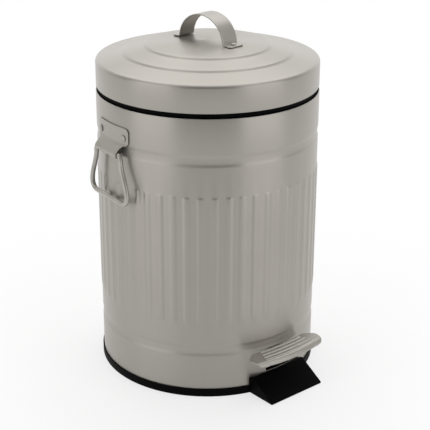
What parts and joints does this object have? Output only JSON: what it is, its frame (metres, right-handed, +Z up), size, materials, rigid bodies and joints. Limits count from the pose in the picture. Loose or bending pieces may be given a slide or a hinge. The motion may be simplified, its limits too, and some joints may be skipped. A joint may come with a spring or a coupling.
{
  "type": "pedal bin",
  "caption": "Round ribbed steel pedal bin with a hinged coned lid, strap handle, side bails, plastic base and a lift-out bucket.",
  "frame": {"origin": "on the floor, on the axis of the round body, in the middle of the base's flat underside", "axes": "+Z up along the body's axis, -Y towards the pedal at the front, the lid's hinge at +Y"},
  "size_m": [0.223, 0.2389, 0.3349],
  "materials": {
    "painted_steel": "warm grey satin coat on pressed steel",
    "bare_steel": "plain drawn and stamped steel",
    "black_plastic": "moulded, low sheen",
    "bucket_plastic": "moulded, low sheen"
  },
  "bodies": {
    "bin": {"body_shell": "painted_steel", "base_tray": "black_plastic", "toe_foot": "black_plastic", "foot_screw_left": "bare_steel", "foot_screw_right": "bare_steel", "rim_ring": "black_plastic", "inner_bucket": "bucket_plastic", "bucket_bail": "bare_steel", "handle_bracket_left": "painted_steel", "handle_bracket_right": "painted_steel", "handle_rivet_left_front": "painted_steel", "handle_rivet_left_rear": "painted_steel", "handle_rivet_right_front": "painted_steel", "handle_rivet_right_rear": "painted_steel", "hinge_bracket_body": "painted_steel", "hinge_pin": "bare_steel", "hinge_rivet_body_left": "painted_steel", "hinge_rivet_body_right": "painted_steel", "rod_guide_lower": "black_plastic", "rod_guide_upper": "black_plastic", "guide_rivet_lower": "painted_steel", "guide_rivet_upper": "painted_steel", "lever_pin": "bare_steel"},
    "lid": {"lid_shell": "painted_steel", "lid_liner": "black_plastic", "strap_handle": "painted_steel", "strap_rivet_front": "painted_steel", "strap_rivet_rear": "painted_steel", "hinge_bracket_lid": "painted_steel", "hinge_rivet_lid_left": "painted_steel", "hinge_rivet_lid_right": "painted_steel", "lift_arm": "bare_steel"},
    "pedal": {"pedal_plate": "painted_steel", "pedal_lever": "bare_steel"},
    "rod": {"lift_rod": "bare_steel"},
    "left_bail": {"bail_left": "bare_steel"},
    "right_bail": {"bail_right": "bare_steel"}
  },
  "joints": [
    {"name": "lid_hinge", "type": "hinge", "parent": "bin", "child": "lid", "pos_m": [0, 0.1066, 0.269], "axis": [-1, 0, 0], "range_deg": [0, 78]},
    {"name": "pedal_press", "type": "hinge", "parent": "bin", "child": "pedal", "pos_m": [0, -0.05, 0.024], "axis": [1, 0, 0], "range_deg": [0, 8.14]},
    {"name": "rod_lift", "type": "slide", "parent": "bin", "child": "rod", "axis": [0, 0, 1], "range_m": [0, 0.02014]},
    {"name": "bail_left_swing", "type": "hinge", "parent": "bin", "child": "left_bail", "pos_m": [-0.10621, 0.01023, 0.2255], "axis": [0.0958, 0.9954, 0], "range_deg": [0, 160]},
    {"name": "bail_right_swing", "type": "hinge", "parent": "bin", "child": "right_bail", "pos_m": [0.10621, 0.01023, 0.2255], "axis": [0.0958, -0.9954, 0], "range_deg": [0, 160]}
  ],
  "couplings": [
    {"joint": "pedal_press", "follows": "lid_hinge", "ratio": 0.10424},
    {"joint": "rod_lift", "follows": "lid_hinge", "m_per_rad": 0.014793}
  ]
}
